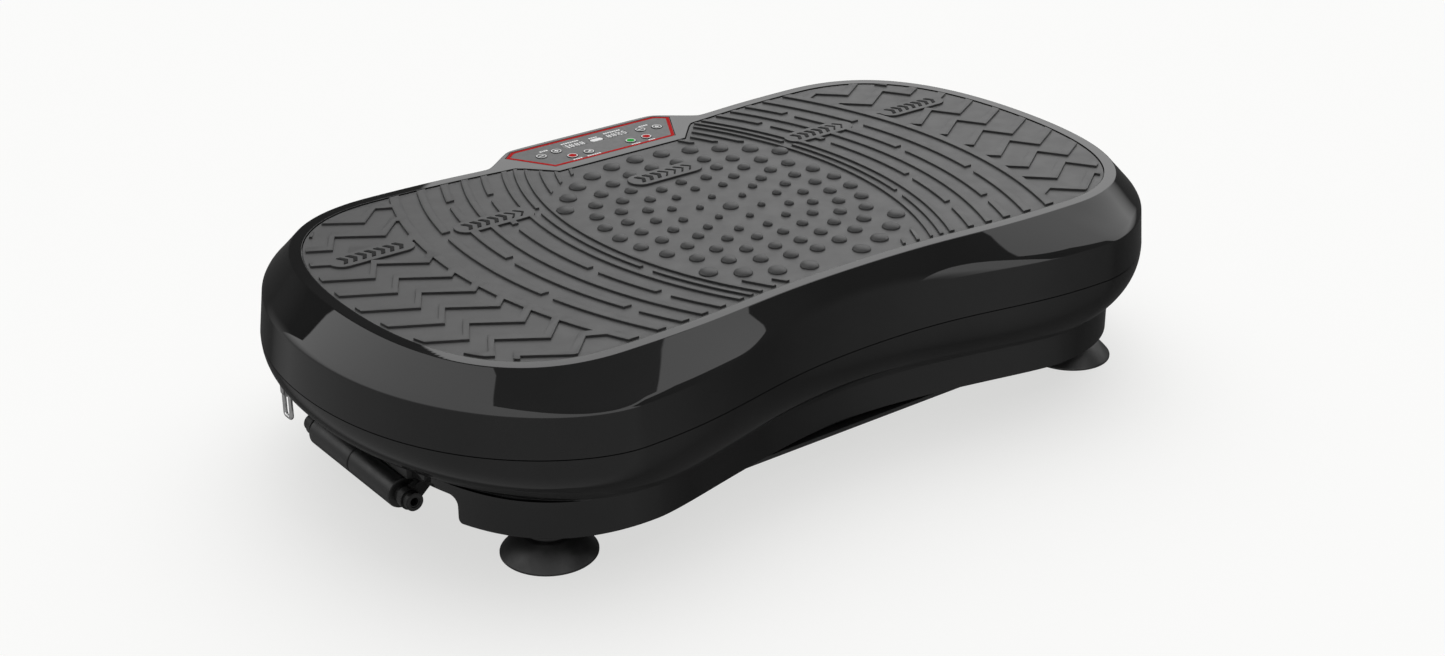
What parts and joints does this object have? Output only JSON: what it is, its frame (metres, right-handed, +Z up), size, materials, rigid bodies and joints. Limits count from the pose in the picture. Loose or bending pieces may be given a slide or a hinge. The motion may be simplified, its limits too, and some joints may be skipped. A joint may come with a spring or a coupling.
{
  "type": "vibration plate",
  "caption": "Slim waisted vibration plate: gloss black platform with a studded rubber mat and rear key panel, rocking on a steel base with suction feet, transport roller and band rings.",
  "frame": {"origin": "centre of the footprint on the floor", "axes": "+X along the length away from the transport roller, +Y towards the control panel, +Z up"},
  "size_m": [0.67, 0.3798, 0.1427],
  "materials": {
    "painted_steel": "satin black powder coat",
    "foot_rubber": "smooth moulded rubber",
    "zinc_steel": "zinc plated",
    "motor_paint": "satin grey paint",
    "belt_rubber": "ribbed belt rubber",
    "cast_bearing": "machined casting",
    "pulley_metal": "turned",
    "circuit_board": "solder-masked board",
    "cover_black": "high gloss moulded ABS",
    "mat_rubber": "matt textured rubber",
    "panel_grey": "printed film with a red border",
    "display_dark": "smoked window over bar segments",
    "window_white": "diffusing lens",
    "inlet_black": "moulded nylon",
    "rocker_red": "moulded",
    "roller_plastic": "satin moulded",
    "ring_chrome": "plated wire",
    "button_grey": "domed film key",
    "button_red": "domed film key",
    "button_green": "domed film key"
  },
  "bodies": {
    "base": {"base_plate": "painted_steel", "suction_foot_left_front": "foot_rubber", "suction_foot_left_rear": "foot_rubber", "suction_foot_right_front": "foot_rubber", "suction_foot_right_rear": "foot_rubber", "foot_studs": "zinc_steel", "foot_nuts": "zinc_steel", "pivot_stand_front": "painted_steel", "pivot_stand_rear": "painted_steel", "pivot_stand_screws": "zinc_steel", "pivot_shaft": "zinc_steel", "motor_bracket": "painted_steel", "motor_body": "motor_paint", "motor_screws": "zinc_steel", "drive_belt": "belt_rubber", "crank_bearing_front": "cast_bearing", "crank_bearing_rear": "cast_bearing", "crank_bearing_screws": "zinc_steel", "driver_board": "circuit_board", "driver_standoffs": "zinc_steel"},
    "platform": {"deck_frame": "painted_steel", "rod_pins": "zinc_steel", "top_cover": "cover_black", "lower_cover": "cover_black", "deck_mat": "mat_rubber", "panel_overlay": "panel_grey", "display_board": "circuit_board", "time_display": "display_dark", "speed_display": "display_dark", "remote_window": "window_white", "cover_screws": "zinc_steel", "power_inlet": "inlet_black", "switch_housing": "inlet_black", "roller_axle": "painted_steel", "roller_bracket_front": "painted_steel", "roller_bracket_rear": "painted_steel", "hook_clip_left": "zinc_steel", "hook_clip_right": "zinc_steel"},
    "rotor": {"motor_shaft": "zinc_steel", "motor_pulley": "pulley_metal"},
    "crank": {"eccentric_shaft": "zinc_steel", "driven_pulley": "pulley_metal"},
    "rod_front": {"connecting_rod_front": "cast_bearing"},
    "rod_rear": {"connecting_rod_rear": "cast_bearing"},
    "key_time_down": {"button_time_down": "button_grey"},
    "key_time_up": {"button_time_up": "button_grey"},
    "key_power": {"button_power": "button_red"},
    "key_program": {"button_program": "button_grey"},
    "key_start": {"button_start": "button_green"},
    "key_stop": {"button_stop": "button_red"},
    "key_speed_down": {"button_speed_down": "button_grey"},
    "key_speed_up": {"button_speed_up": "button_grey"},
    "rocker": {"power_rocker": "rocker_red"},
    "roller": {"transport_roller": "roller_plastic"},
    "ring_left": {"band_ring_left": "ring_chrome"},
    "ring_right": {"band_ring_right": "ring_chrome"}
  },
  "joints": [
    {"name": "platform_rock", "type": "hinge", "parent": "base", "child": "platform", "pos_m": [0, 0, 0.066], "axis": [0, 1, 0], "range_deg": [-1, 1]},
    {"name": "crank_spin", "type": "hinge", "parent": "base", "child": "crank", "pos_m": [0.11, 0, 0.066], "axis": [0, 1, 0], "continuous": true},
    {"name": "motor_spin", "type": "hinge", "parent": "base", "child": "rotor", "pos_m": [-0.12, 0, 0.066], "axis": [0, 1, 0], "continuous": true},
    {"name": "rod_front_swing", "type": "hinge", "parent": "crank", "child": "rod_front", "pos_m": [0.112, -0.075, 0.066], "axis": [0, 1, 0], "continuous": true},
    {"name": "rod_rear_swing", "type": "hinge", "parent": "crank", "child": "rod_rear", "pos_m": [0.112, 0.075, 0.066], "axis": [0, 1, 0], "continuous": true},
    {"name": "press_time_down", "type": "slide", "parent": "platform", "child": "key_time_down", "axis": [0, 0, -1], "range_m": [0, 0.0005], "stiffness_N_per_m": 400},
    {"name": "press_time_up", "type": "slide", "parent": "platform", "child": "key_time_up", "axis": [0, 0, -1], "range_m": [0, 0.0005], "stiffness_N_per_m": 400},
    {"name": "press_power", "type": "slide", "parent": "platform", "child": "key_power", "axis": [0, 0, -1], "range_m": [0, 0.0005], "stiffness_N_per_m": 400},
    {"name": "press_program", "type": "slide", "parent": "platform", "child": "key_program", "axis": [0, 0, -1], "range_m": [0, 0.0005], "stiffness_N_per_m": 400},
    {"name": "press_start", "type": "slide", "parent": "platform", "child": "key_start", "axis": [0, 0, -1], "range_m": [0, 0.0005], "stiffness_N_per_m": 400},
    {"name": "press_stop", "type": "slide", "parent": "platform", "child": "key_stop", "axis": [0, 0, -1], "range_m": [0, 0.0005], "stiffness_N_per_m": 400},
    {"name": "press_speed_down", "type": "slide", "parent": "platform", "child": "key_speed_down", "axis": [0, 0, -1], "range_m": [0, 0.0005], "stiffness_N_per_m": 400},
    {"name": "press_speed_up", "type": "slide", "parent": "platform", "child": "key_speed_up", "axis": [0, 0, -1], "range_m": [0, 0.0005], "stiffness_N_per_m": 400},
    {"name": "rocker_tip", "type": "hinge", "parent": "platform", "child": "rocker", "pos_m": [-0.054, 0.147, 0.037], "axis": [0, 0, 1], "range_deg": [0, 14]},
    {"name": "roller_spin", "type": "hinge", "parent": "platform", "child": "roller", "pos_m": [-0.297, 0, 0.031], "axis": [0, 1, 0], "continuous": true},
    {"name": "ring_left_swing", "type": "hinge", "parent": "platform", "child": "ring_left", "pos_m": [-0.303, 0.092, 0.047], "axis": [0, 1, 0], "range_deg": [-30, 80]},
    {"name": "ring_right_swing", "type": "hinge", "parent": "platform", "child": "ring_right", "pos_m": [0.303, 0.092, 0.047], "axis": [0, -1, 0], "range_deg": [-30, 80]}
  ],
  "couplings": [
    {"joint": "motor_spin", "follows": "crank_spin", "ratio": 3},
    {"joint": "rod_front_swing", "follows": "crank_spin", "ratio": -1},
    {"joint": "rod_rear_swing", "follows": "crank_spin", "ratio": -1}
  ]
}
